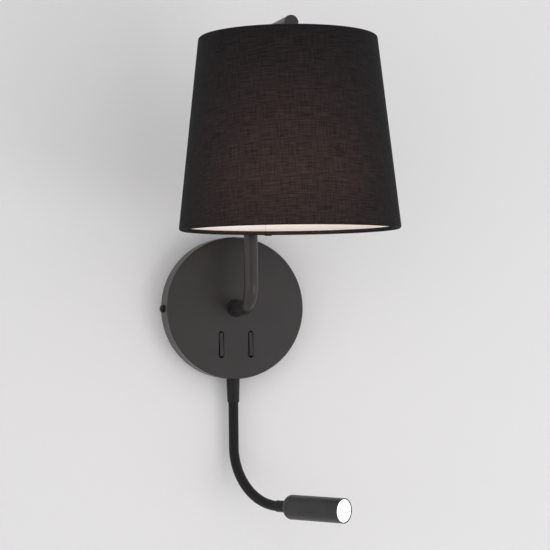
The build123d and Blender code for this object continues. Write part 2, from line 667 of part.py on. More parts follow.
def switch_housing(side):
    """Moulded switch body behind its slot, open to the front."""
    x = side * SWITCH_X
    back = CANOPY_BACK_OF_FACE_Y + SWITCH_BODY_DEPTH
    body = block(
        (x - SWITCH_BODY_WIDTH / 2, x + SWITCH_BODY_WIDTH / 2),
        (CANOPY_BACK_OF_FACE_Y, back),
        (SWITCH_Z - SWITCH_BODY_LENGTH / 2, SWITCH_Z + SWITCH_BODY_LENGTH / 2),
    )
    half_width = ROCKER_WIDTH / 2 + ROCKER_GAP
    half_length = ROCKER_LENGTH / 2 + ROCKER_GAP
    body -= block(
        (x - half_width, x + half_width),
        (CANOPY_BACK_OF_FACE_Y, back - SWITCH_FLOOR),
        (SWITCH_Z - half_length, SWITCH_Z + half_length),
    )
    pin_hole = Cylinder(SWITCH_PIN_RADIUS + FIT_CLEARANCE, SWITCH_PIN_LENGTH + FIT_CLEARANCE, rotation=(0, 90, 0))
    return body - Pos(x, ROCKER_PIVOT_Y, SWITCH_Z) * pin_hole


def switch_rocker(side):
    """Narrow rocker with round ends, at rest with its upper end pressed in."""
    front = ROCKER_PIVOT_DEPTH + ROCKER_PROUD
    slab = extrude(
        Plane(origin=(0, -front, 0), x_dir=(0, 0, 1), z_dir=(0, 1, 0)) * SlotOverall(ROCKER_LENGTH, ROCKER_WIDTH),
        amount=front + ROCKER_BACK,
    )
    front_edges = slab.faces().sort_by(Axis.Y)[0].edges()
    slab = fillet(front_edges, ROCKER_EDGE)
    slab &= Cylinder(ROCKER_LENGTH / 2, ROCKER_WIDTH, rotation=(0, 90, 0))
    slab -= Cylinder(SWITCH_PIN_RADIUS + RUNNING_CLEARANCE, ROCKER_WIDTH, rotation=(0, 90, 0))
    return Pos(side * SWITCH_X, ROCKER_PIVOT_Y, SWITCH_Z) * Rot(-ROCKER_TILT, 0, 0) * slab


def switch_pin(side):
    """Steel pin the rocker turns on, held in the switch body."""
    pin = Cylinder(SWITCH_PIN_RADIUS, SWITCH_PIN_LENGTH, rotation=(0, 90, 0))
    return Pos(side * SWITCH_X, ROCKER_PIVOT_Y, SWITCH_Z) * pin


def switch_terminals(side):
    """Two blade terminals on the back of a switch."""
    x = side * SWITCH_X
    back = CANOPY_BACK_OF_FACE_Y + SWITCH_BODY_DEPTH
    blades = []
    for end in (-1, 1):
        z = SWITCH_Z + end * TERMINAL_BLADE_SPACING / 2
        blades.append(
            block(
                (x - TERMINAL_BLADE_WIDTH / 2, x + TERMINAL_BLADE_WIDTH / 2),
                (back, back + TERMINAL_BLADE_LENGTH),
                (z - TERMINAL_BLADE_THICKNESS / 2, z + TERMINAL_BLADE_THICKNESS / 2),
            )
        )
    return Compound(blades)


def gooseneck_ferrule():
    """Tapered sleeve below the canopy, with the threaded stem that passes through its wall."""
    socket = NECK_RADIUS + FIT_CLEARANCE
    seat = FERRULE_TOP_Z - FERRULE_SEAT
    sleeve = turned(
        [
            (FERRULE_STEM_BORE, STEM_TOP_Z),
            (FERRULE_STEM_RADIUS, STEM_TOP_Z),
            (FERRULE_STEM_RADIUS, FERRULE_TOP_Z),
            (FERRULE_TOP_RADIUS, FERRULE_TOP_Z),
            (FERRULE_MOUTH_RADIUS, FERRULE_MOUTH_Z),
            (socket, FERRULE_MOUTH_Z),
            (socket, seat),
            (FERRULE_STEM_BORE, seat),
        ]
    )
    return Pos(0, -NECK_DEPTH, 0) * sleeve


def gooseneck_base_nut():
    """Hexagon nut inside the canopy that holds the ferrule."""
    nut = extrude(RegularPolygon(BASE_NUT_CORNER, 6), amount=BASE_NUT_THICKNESS)
    nut -= Cylinder(FERRULE_STEM_RADIUS + FIT_CLEARANCE, BASE_NUT_THICKNESS, align=ALIGN_UP)
    return Pos(0, -NECK_DEPTH, BASE_NUT_SEAT_Z) * nut


def neck_place(distance):
    """Point and direction of the neck's centre line at a distance below the ferrule's mouth."""
    if distance <= NECK_DROP:
        return Vector(0, -NECK_DEPTH, FERRULE_MOUTH_Z - distance), Vector(0, 0, -1)
    angle = (distance - NECK_DROP) / NECK_BEND_RADIUS
    out = NECK_BEND_RADIUS * (1 - cos(angle))
    down = NECK_DROP + NECK_BEND_RADIUS * sin(angle)
    point = Vector(out * NECK_SIN, -NECK_DEPTH - out * NECK_COS, FERRULE_MOUTH_Z - down)
    direction = Vector(sin(angle) * NECK_SIN, -sin(angle) * NECK_COS, -cos(angle))
    return point, direction


def neck_pivots():
    """Distances of the neck's pivots, first down the straight part and then round the bend."""
    step = (NECK_DROP + NECK_PIVOT_INSET) / STRAIGHT_LINKS
    bend_step = NECK_BEND_RADIUS * pi / 2 / CURVED_LINKS
    straight = [-NECK_PIVOT_INSET + index * step for index in range(STRAIGHT_LINKS)]
    return straight + [NECK_DROP + index * bend_step for index in range(CURVED_LINKS + 1)]


def neck_length(start, end):
    """Hollow length of the neck between two distances, straight or round the bend."""
    point, direction = neck_place(start)
    ring = Plane(origin=point, z_dir=direction) * (Circle(NECK_RADIUS) - Circle(NECK_BORE))
    if end <= NECK_DROP + FIT_CLEARANCE:
        return extrude(ring, amount=end - start)
    centre = (
        NECK_BEND_RADIUS * NECK_SIN,
        -NECK_DEPTH - NECK_BEND_RADIUS * NECK_COS,
        FERRULE_MOUTH_Z - NECK_DROP,
    )
    axis = Axis(centre, (-NECK_COS, -NECK_SIN, 0))
    return revolve(ring, axis=axis, revolution_arc=(end - start) / NECK_BEND_RADIUS * 180 / pi)


def neck_ball(distance):
    """Rounded end of a link, centred on the pivot that follows it."""
    point, direction = neck_place(distance)
    ball = Cylinder(NECK_RADIUS, NECK_BALL_RADIUS, align=ALIGN_UP) & Sphere(NECK_BALL_RADIUS)
    ball -= Cylinder(NECK_BORE, NECK_BALL_RADIUS, align=ALIGN_UP)
    return Plane(origin=point, z_dir=direction).location * ball


def neck_cup(distance):
    """Hollow that clears the rounded end of the link before."""
    point, _ = neck_place(distance)
    return Pos(point) * Sphere(NECK_BALL_RADIUS + LOOSE_CLEARANCE)


def gooseneck_root():
    """First length of the neck, held in the ferrule."""
    start = FERRULE_TOP_Z - FERRULE_SEAT - FERRULE_MOUTH_Z - FIT_CLEARANCE
    return neck_length(-start, -NECK_PIVOT_INSET) + neck_ball(-NECK_PIVOT_INSET)


def gooseneck_link(index):
    """One length of the neck: a cup on the pivot before it and a ball on the pivot after it."""
    pivots = neck_pivots()
    link = neck_length(pivots[index], pivots[index + 1])
    if index + 2 < len(pivots):
        link += neck_ball(pivots[index + 1])
    else:
        point, direction = neck_place(pivots[index + 1])
        tail = Plane(origin=point, z_dir=direction) * (Circle(NECK_RADIUS) - Circle(NECK_BORE))
        link += extrude(tail, amount=CUFF_SOCKET)
    return link - neck_cup(pivots[index])


def head_frame(distance):
    """Plane across the spot head's axis at a distance from the neck's end."""
    point, direction = neck_place(neck_pivots()[-1])
    return Plane(origin=point + direction * distance, x_dir=(0, 0, 1), z_dir=direction)


def on_head(shape):
    """Places a shape made about Z so that its height zero is the head's rear face."""
    return head_frame(CUFF_LENGTH).location * shape


def head_cuff():
    """Turned cuff on the neck's end, with the stem that passes into the head."""
    socket = NECK_RADIUS + FIT_CLEARANCE
    edge = (CUFF_RADIUS - socket) / 2
    depth = CUFF_SOCKET + FIT_CLEARANCE - CUFF_LENGTH
    return on_head(
        turned(
            [
                (socket, -CUFF_LENGTH),
                (CUFF_RADIUS - edge, -CUFF_LENGTH),
                (CUFF_RADIUS, -CUFF_LENGTH + edge),
                (CUFF_RADIUS, CUFF_TAIL),
                (CUFF_BORE, CUFF_TAIL),
                (CUFF_BORE, depth),
                (socket, depth),
            ]
        )
    )


def head_body():
    """Turned aluminium barrel with a rounded rear shoulder, open at the front."""
    hole = CUFF_RADIUS + FIT_CLEARANCE
    inner_start = HEAD_SHOULDER + HEAD_REAR_WALL
    mid_radius = HEAD_RADIUS - (HEAD_RADIUS - HEAD_REAR_RADIUS) * (1 - cos(pi / 4))
    mid_height = HEAD_SHOULDER * (1 - sin(pi / 4))
    outline = make_face(
        Wire(
            [
                Line((hole, 0, 0), (HEAD_REAR_RADIUS, 0, 0)),
                ThreePointArc((HEAD_REAR_RADIUS, 0, 0), (mid_radius, 0, mid_height), (HEAD_RADIUS, 0, HEAD_SHOULDER)),
                Line((HEAD_RADIUS, 0, HEAD_SHOULDER), (HEAD_RADIUS, 0, HEAD_LENGTH)),
                Line((HEAD_RADIUS, 0, HEAD_LENGTH), (HEAD_INNER_RADIUS, 0, HEAD_LENGTH)),
                Line((HEAD_INNER_RADIUS, 0, HEAD_LENGTH), (HEAD_INNER_RADIUS, 0, inner_start)),
                Line((HEAD_INNER_RADIUS, 0, inner_start), (HEAD_NUT_RADIUS, 0, HEAD_REAR_WALL)),
                Line((HEAD_NUT_RADIUS, 0, HEAD_REAR_WALL), (hole, 0, HEAD_REAR_WALL)),
                Line((hole, 0, HEAD_REAR_WALL), (hole, 0, 0)),
            ]
        )
    )
    return on_head(revolve(outline, axis=Axis.Z))


def head_nut():
    """Round nut inside the head that holds the cuff."""
    hole = CUFF_RADIUS + FIT_CLEARANCE
    radius = HEAD_NUT_RADIUS - LOOSE_CLEARANCE
    top = HEAD_REAR_WALL + HEAD_NUT_THICKNESS
    return on_head(turned([(hole, HEAD_REAR_WALL), (radius, HEAD_REAR_WALL), (radius, top), (hole, top)]))


def head_heatsink():
    """Aluminium plug that carries the light source and cools it."""
    plug = turned(
        [
            (HEATSINK_BORE, HEATSINK_START),
            (HEATSINK_RADIUS, HEATSINK_START),
            (HEATSINK_RADIUS, BOARD_START),
            (HEATSINK_BORE, BOARD_START),
        ]
    )
    return on_head(plug)


def led_board():
    """Round circuit board on the plug."""
    return on_head(Pos(0, 0, BOARD_START) * Cylinder(BOARD_RADIUS, BOARD_THICKNESS, align=ALIGN_UP))


def led_chip():
    """Light source at the middle of the board."""
    chip = extrude(Rectangle(CHIP_SIDE, CHIP_SIDE), amount=CHIP_THICKNESS)
    return on_head(Pos(0, 0, CHIP_START) * chip)


def head_lens_holder():
    """Moulded ring that centres the lens over the light source."""
    outer = HEAD_INNER_RADIUS - FIT_CLEARANCE
    start = CHIP_START
    end = start + LENS_HOLDER_LENGTH
    ring = turned(
        [
            (outer - LENS_HOLDER_WALL, start),
            (outer, start),
            (outer, end),
            (outer - LENS_HOLDER_WALL, end),
        ]
    )
    return on_head(ring)


def head_lens():
    """Solid collimating lens whose flat rim closes the head."""
    rim = HEAD_INNER_RADIUS - FIT_CLEARANCE
    waist = rim - LENS_HOLDER_WALL - FIT_CLEARANCE
    rim_start = CHIP_START + LENS_HOLDER_LENGTH + FIT_CLEARANCE
    lens = turned(
        [
            (0, LENS_START),
            (LENS_REAR_RADIUS, LENS_START),
            (waist, rim_start - FIT_CLEARANCE),
            (waist, rim_start),
            (rim, LENS_END - LENS_RIM_THICKNESS),
            (rim, LENS_END),
            (0, LENS_END),
        ]
    )
    return on_head(lens)


def parts():
    """Every piece by its node's name."""
    pieces = {
        "wall_bracket": wall_bracket(),
        "canopy": canopy(),
        "canopy_side_screws": canopy_side_screws(),
        "earth_screw": earth_screw(),
        "terminal_block": terminal_block(),
        "led_driver": led_driver(),
        "arm_tube": arm_tube(),
        "arm_collar": arm_collar(),
        "arm_nipple": arm_nipple(),
        "arm_lock_washer": arm_lock_washer(),
        "arm_lock_nut": arm_lock_nut(),
        "arm_end_cap": arm_end_cap(),
        "holder_nipple": holder_nipple(),
        "lampholder_cap": lampholder_cap(),
        "lampholder_body": lampholder_body(),
        "lampholder_core": lampholder_core(),
        "lampholder_shell": lampholder_shell(),
        "lampholder_contact": lampholder_contact(),
        "lamp_cap": lamp_cap(),
        "lamp_body": lamp_body(),
        "lamp_globe": lamp_globe(),
        "shade_fabric": shade_fabric(),
        "shade_lining": shade_lining(),
        "shade_spider": shade_spider(),
        "shade_bottom_ring": shade_bottom_ring(),
        "shade_ring_nut": shade_ring_nut(),
        "gooseneck_ferrule": gooseneck_ferrule(),
        "gooseneck_base_nut": gooseneck_base_nut(),
        "gooseneck_root": gooseneck_root(),
        "head_cuff": head_cuff(),
        "head_body": head_body(),
        "head_nut": head_nut(),
        "head_heatsink": head_heatsink(),
        "led_board": led_board(),
        "led_chip": led_chip(),
        "head_lens_holder": head_lens_holder(),
        "head_lens": head_lens(),
    }
    for name, side in (("left", -1), ("right", 1)):
        pieces[f"switch_{name}_housing"] = switch_housing(side)
        pieces[f"switch_{name}_rocker"] = switch_rocker(side)
        pieces[f"switch_{name}_pin"] = switch_pin(side)
        pieces[f"switch_{name}_terminals"] = switch_terminals(side)
    for index in range(STRAIGHT_LINKS + CURVED_LINKS):
        pieces[f"gooseneck_link_{index + 1:02d}"] = gooseneck_link(index)
    return pieces


os.makedirs("parts", exist_ok=True)
for node, shape in parts().items():
    export_step(shape, f"parts/{node}.step")
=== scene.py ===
from math import cos, pi, radians, sin, sqrt

import bmesh
import bpy
import numpy as np
from mathutils import Matrix, Vector


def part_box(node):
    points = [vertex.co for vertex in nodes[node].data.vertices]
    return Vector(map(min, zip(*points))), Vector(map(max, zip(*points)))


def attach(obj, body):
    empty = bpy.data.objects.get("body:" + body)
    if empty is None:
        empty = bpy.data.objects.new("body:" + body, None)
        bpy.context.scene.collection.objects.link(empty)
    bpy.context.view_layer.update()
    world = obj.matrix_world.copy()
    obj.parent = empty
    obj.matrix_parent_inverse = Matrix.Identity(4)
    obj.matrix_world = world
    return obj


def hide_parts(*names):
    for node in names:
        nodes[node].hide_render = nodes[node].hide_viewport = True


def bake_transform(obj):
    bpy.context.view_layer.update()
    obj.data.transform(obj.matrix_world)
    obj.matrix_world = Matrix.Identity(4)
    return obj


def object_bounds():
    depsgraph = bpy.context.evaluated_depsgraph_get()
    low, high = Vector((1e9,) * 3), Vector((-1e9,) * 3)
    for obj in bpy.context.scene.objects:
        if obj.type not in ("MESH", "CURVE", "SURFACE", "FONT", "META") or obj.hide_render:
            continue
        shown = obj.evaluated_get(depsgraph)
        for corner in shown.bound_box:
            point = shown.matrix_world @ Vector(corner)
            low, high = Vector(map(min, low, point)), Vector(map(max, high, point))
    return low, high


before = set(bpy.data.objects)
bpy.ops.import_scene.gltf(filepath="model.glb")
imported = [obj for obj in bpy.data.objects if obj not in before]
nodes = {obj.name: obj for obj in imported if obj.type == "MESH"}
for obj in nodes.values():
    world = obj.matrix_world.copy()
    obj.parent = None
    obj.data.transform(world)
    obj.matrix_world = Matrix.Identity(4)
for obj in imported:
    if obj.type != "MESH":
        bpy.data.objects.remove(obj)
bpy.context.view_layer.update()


# ---- canopy and arm -----------------------------------------------------------------------------
# The canopy is a pressed steel cup and the arm a bent steel tube, closed by a flat plug. Both have
# the same matt black powder coat, which is baked on and leaves a fine orange peel.
COAT_DARK = "282324"
COAT_LIGHT = "312b2d"
COAT_GLOSS = (0.31, 0.39)
COAT_CLOUDS = 0.045
PEEL_SIZE = 0.0009
PEEL_DEPTH = 0.00003
NOISE_MIDDLE = (0.3, 0.7)


def linear(colour):
    """Linear red, green, blue and alpha of an sRGB hex colour: a power of 2.4 above a short
    straight foot."""
    parts = np.array([int(colour[i : i + 2], 16) for i in (0, 2, 4)]) / 255
    curve = np.where(parts <= 0.04045, parts / 12.92, ((parts + 0.055) / 1.055) ** 2.4)
    return (*curve.tolist(), 1.0)


def add(tree, kind, inputs=None, output=0, **settings):
    """Adds a node, sets its settings, then sets or links each input by name or number. It gives
    the output asked for."""
    made = tree.nodes.new("ShaderNode" + kind)
    for key, value in settings.items():
        setattr(made, key, value)
    for key, value in (inputs or {}).items():
        if isinstance(value, bpy.types.NodeSocket):
            tree.links.new(value, made.inputs[key])
        else:
            made.inputs[key].default_value = value
    return made.outputs[output]


def new_material(name, **sockets):
    """A material, its node tree and its shader. Values that are the same all over the surface are
    set on the shader's own sockets."""
    made = bpy.data.materials.new(name)
    made.use_nodes = True
    shader = made.node_tree.nodes["Principled BSDF"]
    for key, value in sockets.items():
        shader.inputs[key.replace("_", " ")].default_value = value
    return made, made.node_tree, shader


def finish(shader, tones, gloss=None, relief=None):
    """Links a finish to a shader: a share from 0 to 1 between two hex colours, a pattern whose
    middle is carried to two values of roughness, and a height with its depth in metres and its
    strength, as a bump."""
    tree = shader.id_data
    share, dark, light = tones
    mixed = {0: share, 6: linear(dark), 7: linear(light)}
    tree.links.new(add(tree, "Mix", mixed, 2, data_type="RGBA"), shader.inputs["Base Color"])
    if gloss:
        pattern, low, high = gloss
        carried = {"Value": pattern, "To Min": low, "To Max": high}
        carried["From Min"], carried["From Max"] = NOISE_MIDDLE
        tree.links.new(add(tree, "MapRange", carried), shader.inputs["Roughness"])
    if relief:
        height, depth, strength = relief
        raised = {"Height": height, "Distance": depth, "Strength": strength}
        tree.links.new(add(tree, "Bump", raised), shader.inputs["Normal"])


def dress(material, *names):
    """Gives CAD nodes their material."""
    for name in names:
        mesh = nodes[name].data
        mesh.materials.clear()
        mesh.materials.append(material)


def powder_coat():
    """Matt black coat: broad clouds in its tone and a fine orange peel."""
    made, tree, shader = new_material("coat_black")
    place = add(tree, "TexCoord", output="Object")
    clouds = add(tree, "TexNoise", {"Vector": place, "Scale": 1 / COAT_CLOUDS, "Detail": 3.0})
    peel = add(tree, "TexNoise", {"Vector": place, "Scale": 1 / PEEL_SIZE, "Detail": 1.0})
    tone = add(tree, "Math", {0: peel, 1: 0.35, 2: clouds}, operation="MULTIPLY_ADD")
    share = add(tree, "MapRange", {"Value": tone, "From Min": 0.45, "From Max": 0.9})
    finish(shader, (share, COAT_DARK, COAT_LIGHT), (clouds, *COAT_GLOSS), (peel, PEEL_DEPTH, 0.5))
    return made


dress(powder_coat(), "canopy", "arm_tube", "arm_end_cap")


# ---- collar, ferrule and cuff -------------------------------------------------------------------
# The small turned pieces where the arm and the neck start and end are dyed a deeper black than
# the coat, with the faint rings of turning across their length.
TURNED_BLACK = "0d0c0d"
TURNED_WORN = "191819"
TURNED_GLOSS = (0.4, 0.52)
DYE_CLOUDS = 0.006
TURNING_PITCH = 0.0004
TURNING_DEPTH = 0.00001


def turned_black():
    """Deep black on turned metal: fine rings across Z and a dull, slightly uneven gloss."""
    made, tree, shader = new_material("turned_black", Specular_IOR_Level=0.3)
    place = add(tree, "TexCoord", output="Object")
    drawn_round = add(tree, "Mapping", {"Vector": place, "Scale": (0.1, 0.1, 1.0)})
    rings = add(tree, "TexNoise", {"Vector": drawn_round, "Scale": 1 / TURNING_PITCH, "Detail": 1.0})
    clouds = add(tree, "TexNoise", {"Vector": place, "Scale": 1 / DYE_CLOUDS})
    share = add(tree, "MapRange", {"Value": clouds, "From Min": 0.35, "From Max": 0.65})
    relief = (rings, TURNING_DEPTH, 0.5)
    finish(shader, (share, TURNED_BLACK, TURNED_WORN), (clouds, *TURNED_GLOSS), relief)
    return made


dress(turned_black(), "arm_collar", "gooseneck_ferrule", "head_cuff")


# ---- bracket, studs, nuts and washers -----------------------------------------------------------
# The strap on the wall, the studs, nuts and washer that hold the arm, the lampholder, the neck and
# the head, and the rockers' pins are zinc-plated steel. The plating is thin and bright, with faint
# cloudy spangles, and the strap shows the marks of rolling along its length.
ZINC_DARK = "9a9c9f"
ZINC_LIGHT = "b9babb"
ZINC_GLOSS = (0.28, 0.42)
SPANGLE_SIZE = 0.004
ROLLING_PITCH = 0.0006
ROLLING_DEPTH = 0.00002


def zinc_plate():
    """Plated steel: cloudy spangles and fine marks along X."""
    made, tree, shader = new_material("zinc_plated", Metallic=1.0)
    place = add(tree, "TexCoord", output="Object")
    drawn_along = add(tree, "Mapping", {"Vector": place, "Scale": (0.05, 1.0, 1.0)})
    marks = add(tree, "TexNoise", {"Vector": drawn_along, "Scale": 1 / ROLLING_PITCH})
    spangle = add(tree, "TexNoise", {"Vector": place, "Scale": 1 / SPANGLE_SIZE, "Detail": 1.0})
    tone = add(tree, "Math", {0: marks, 1: 0.5, 2: spangle}, operation="MULTIPLY_ADD")
    share = add(tree, "MapRange", {"Value": tone, "From Min": 0.5, "From Max": 1.0})
    relief = (marks, ROLLING_DEPTH, 0.5)
    finish(shader, (share, ZINC_DARK, ZINC_LIGHT), (spangle, *ZINC_GLOSS), relief)
    return made


dress(
    zinc_plate(),
    "wall_bracket",
    "arm_nipple",
    "arm_lock_washer",
    "arm_lock_nut",
    "holder_nipple",
    "gooseneck_base_nut",
    "head_nut",
    "switch_left_pin",
    "switch_right_pin",
)


# ---- side screws --------------------------------------------------------------------------------
# Two round-headed steel screws hold the canopy to the bracket. They are chemically blackened and
# slightly oily, so they have a low gloss and faint wear.
SCREW_BLACK = "141415"
SCREW_WORN = "262628"
SCREW_GLOSS = (0.24, 0.4)
SCREW_WEAR = 0.0012


def blackened_steel():
    """Blackened steel: nearly black, with small worn patches."""
    made, tree, shader = new_material("blackened", Metallic=0.6)
    place = add(tree, "TexCoord", output="Object")
    wear = add(tree, "TexNoise", {"Vector": place, "Scale": 1 / SCREW_WEAR, "Detail": 3.0})
    share = add(tree, "MapRange", {"Value": wear, "From Min": 0.4, "From Max": 0.7})
    finish(shader, (share, SCREW_BLACK, SCREW_WORN), (wear, *SCREW_GLOSS))
    return made


dress(blackened_steel(), "canopy_side_screws")


# ---- brass pieces -------------------------------------------------------------------------------
# The earth screw, the blades of the switches, the screw shell and the centre contact are brass,
# left bright and a little tarnished by handling.
BRASS_BRIGHT = "cdae6d"
BRASS_TARNISHED = "a5853f"
BRASS_GLOSS = (0.22, 0.4)
TARNISH_SIZE = 0.005
SCRATCH_PITCH = 0.0004
SCRATCH_DEPTH = 0.00001


def bright_brass():
    """Brass with patches of tarnish and fine scratches."""
    made, tree, shader = new_material("bright_brass", Metallic=1.0)
    place = add(tree, "TexCoord", output="Object")
    tarnish = add(tree, "TexNoise", {"Vector": place, "Scale": 1 / TARNISH_SIZE, "Detail": 4.0})
    scratches = add(tree, "TexNoise", {"Vector": place, "Scale": 1 / SCRATCH_PITCH, "Detail": 1.0})
    share = add(tree, "MapRange", {"Value": tarnish, "From Min": 0.4, "From Max": 0.68})
    relief = (scratches, SCRATCH_DEPTH, 0.5)
    finish(shader, (share, BRASS_BRIGHT, BRASS_TARNISHED), (tarnish, *BRASS_GLOSS), relief)
    return made


dress(
    bright_brass(),
    "earth_screw",
    "lampholder_shell",
    "lampholder_contact",
    "switch_left_terminals",
    "switch_right_terminals",
)


# ---- moulded pieces -----------------------------------------------------------------------------
# The terminal block, the supply's case, the lamp's body, the light source's board and the ring
# that holds the lens are moulded or laminated in white. The lampholder and its ring nut are
# moulded in black with a soft gloss, and the switches in black with a fine matt texture.
WHITE_TONES = ("d9d8d3", "e6e5e1")
HOLDER_TONES = ("1b1b1c", "262627")
SWITCH_TONES = ("242222", "2b2929")
MOULDING_CLOUDS = 0.02
GLOSS_SPREAD = 0.05


def moulded(name, tones, roughness, grain, depth):
    """Moulded plastic: two close tones, a spark-eroded grain and a slightly uneven gloss."""
    made, tree, shader = new_material(name)
    place = add(tree, "TexCoord", output="Object")
    texture = add(tree, "TexNoise", {"Vector": place, "Scale": 1 / grain})
    clouds = add(tree, "TexNoise", {"Vector": place, "Scale": 1 / MOULDING_CLOUDS})
    share = add(tree, "MapRange", {"Value": clouds, "From Min": 0.35, "From Max": 0.65})
    gloss = (clouds, roughness - GLOSS_SPREAD, roughness + GLOSS_SPREAD)
    finish(shader, (share, *tones), gloss, (texture, depth, 0.6))
    return made


white_moulding = moulded("white_moulding", WHITE_TONES, roughness=0.45, grain=0.0007, depth=0.00002)
dress(white_moulding, "terminal_block", "led_driver", "lamp_body", "led_board", "head_lens_holder")
holder_moulding = moulded("holder_moulding", HOLDER_TONES, roughness=0.32, grain=0.0016, depth=0.00002)
dress(holder_moulding, "lampholder_cap", "lampholder_body", "lampholder_core", "shade_ring_nut")
switch_moulding = moulded("switch_moulding", SWITCH_TONES, roughness=0.48, grain=0.0005, depth=0.00003)
dress(switch_moulding, "switch_left_housing", "switch_right_housing")
dress(switch_moulding, "switch_left_rocker", "switch_right_rocker")


# ---- lamp ---------------------------------------------------------------------------------------
# A screw-in lamp with a bright pressed cap and a blown opal globe, switched on. The globe's inside
# coat spreads the light, so it shows no filament and is a little dimmer near its body.
CAP_DARK = "b4b5b8"
CAP_LIGHT = "d8d9db"
CAP_RING_PITCH = 0.0007
CAP_RING_DEPTH = 0.00003
GLOBE_WHITE = "f6f1ea"
GLOBE_LIGHT = "fffaf5"
GLOBE_POWER = 1.28
GLOBE_TOP_SHARE = 0.7


def pressed_cap():
    """Bright metal with faint pressing rings across its height."""
    made, tree, shader = new_material("lamp_cap_bright", Metallic=1.0, Roughness=0.25)
    place = add(tree, "TexCoord", output="Object")
    drawn_round = add(tree, "Mapping", {"Vector": place, "Scale": (0.1, 0.1, 1.0)})
    rings = add(tree, "TexNoise", {"Vector": drawn_round, "Scale": 1 / CAP_RING_PITCH, "Detail": 1.0})
    finish(shader, (rings, CAP_DARK, CAP_LIGHT), relief=(rings, CAP_RING_DEPTH, 0.6))
    return made


def opal_globe():
    """Lit opal: white, softly glossy, brightest at its lower end."""
    globe_low, globe_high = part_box("lamp_globe")
    made, tree, shader = new_material("opal", Base_Color=linear(GLOBE_WHITE), Roughness=0.3)
    place = add(tree, "TexCoord", output="Object")
    heights = {
        "Value": add(tree, "SeparateXYZ", {0: place}, "Z"),
        "From Min": globe_low.z,
        "From Max": globe_high.z,
        "To Min": GLOBE_POWER,
        "To Max": GLOBE_POWER * GLOBE_TOP_SHARE,
    }
    tree.links.new(add(tree, "MapRange", heights), shader.inputs["Emission Strength"])
    shader.inputs["Emission Color"].default_value = linear(GLOBE_LIGHT)
    return made


dress(pressed_cap(), "lamp_cap")
dress(opal_globe(), "lamp_globe")


# ---- shade --------------------------------------------------------------------------------------
# The shade is black cotton cloth laminated on white film, cut as one flat sector, rolled round
# two wire rings and lapped at the back. Its edges are turned in over the rings, and a three-armed
# white wire carrier hangs it from the lampholder.
SHADE_REACH = 0.1765
CLOTH_THICKNESS = 0.0004
HEM_TURN = 0.00215
HEM_RISE = 0.0032
LAP_WIDTH = 0.005
LAP_LIFT = 0.0007
LAP_SLOPE = 0.025
SEAM_TURN = radians(4.6)
RING_POINTS = 13
SIDE_POINTS = 61
HEM_POINTS = 4
LAP_POINTS = 7
ROUND_POINTS = 241
TOP_BAND = 0.0001
MERGE_DISTANCE = 0.0000001
CLOTH_DARK = "060607"
CLOTH_LIGHT = "232224"
# The lamp's light through the cloth is painted on it as a faint warm glow, strongest at a quarter of
# its height and fading above and below.
GLOW_COLOUR = "ffbfae"
GLOW_POWER = 0.165
GLOW_DEPTH = 0.18
GLOW_HEIGHT = 0.25
GLOW_REACH = 0.75
GLOW_FAR = 0.08
THREAD_DEPTH = 0.00018
# Patterns on the flat cut, whose places are in millimetres: the pitch of the threads, and uneven
# yarn as streaks about 14 mm long and 0.9 mm wide, given in parts per millimetre.
MILLIMETRES = 1000
THREAD_PITCH = 0.62
YARN_LENGTHWAYS = 0.07
YARN_ACROSS = 1.15
WEFT_SHARE = 0.6
WARP_SHARE = 0.4
YARN_THICK_THIN = (0.36, 0.66)
YARN_PASSES = (0.35, 1.85)
FILM_WHITE = "f3ece8"
FILM_SEAM = "e2d3ca"
# The film's warm glow is painted light that stands in for the lamp lighting it.
FILM_GLOW = "fff3ec"
FILM_POWER = 0.155
FILM_CLOUDS = 0.03
FILM_SEAM_EDGES = (0.0003, 0.0007)
WIRE_WHITE = "d6d3cd"
WIRE_SHADE = "c4c0b9"
WIRE_CLOUDS = 0.003
WIRE_DEPTH = 0.00005


def grid_mesh(name, points, uv, closed=False):
    """Mesh over a grid of points. Each cell is one face. Rows that shrink to a point and columns
    that meet are merged, and the UV map keeps its own values on either side of such a seam."""
    rows, columns = points.shape[:2]
    index = np.arange(rows * columns).reshape(rows, columns)
    corners = [index[:-1, :-1], index[:-1, 1:], index[1:, 1:], index[1:, :-1]]
    cells = np.stack(corners, axis=-1).reshape(-1, 4)
    mesh = bpy.data.meshes.new(name)
    mesh.from_pydata(points.reshape(-1, 3), [], cells)
    layer = mesh.uv_layers.new(name="UVMap")
    layer.data.foreach_set("uv", uv.reshape(-1, 2)[cells.reshape(-1)].ravel())
    work = bmesh.new()
    work.from_mesh(mesh)
    bmesh.ops.remove_doubles(work, verts=work.verts, dist=MERGE_DISTANCE)
    if closed:
        bmesh.ops.recalc_face_normals(work, faces=work.faces)
    work.to_mesh(mesh)
    work.free()
    mesh.polygons.foreach_set("use_smooth", np.ones(len(mesh.polygons), bool))
    made = bpy.data.objects.new(name, mesh)
    bpy.context.scene.collection.objects.link(made)
    return made


cloth_low, cloth_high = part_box("shade_fabric")
shade_height = cloth_high.z - cloth_low.z
bottom_radius = (cloth_high.x - cloth_low.x) / 2
fitted = nodes["shade_fabric"].data.vertices
fitted_points = np.empty(len(fitted) * 3, np.float32)
fitted.foreach_get("co", fitted_points)
fitted_points = fitted_points.reshape(-1, 3)
top_radius = float(fitted_points[fitted_points[:, 2] > cloth_high.z - TOP_BAND, 0].max())


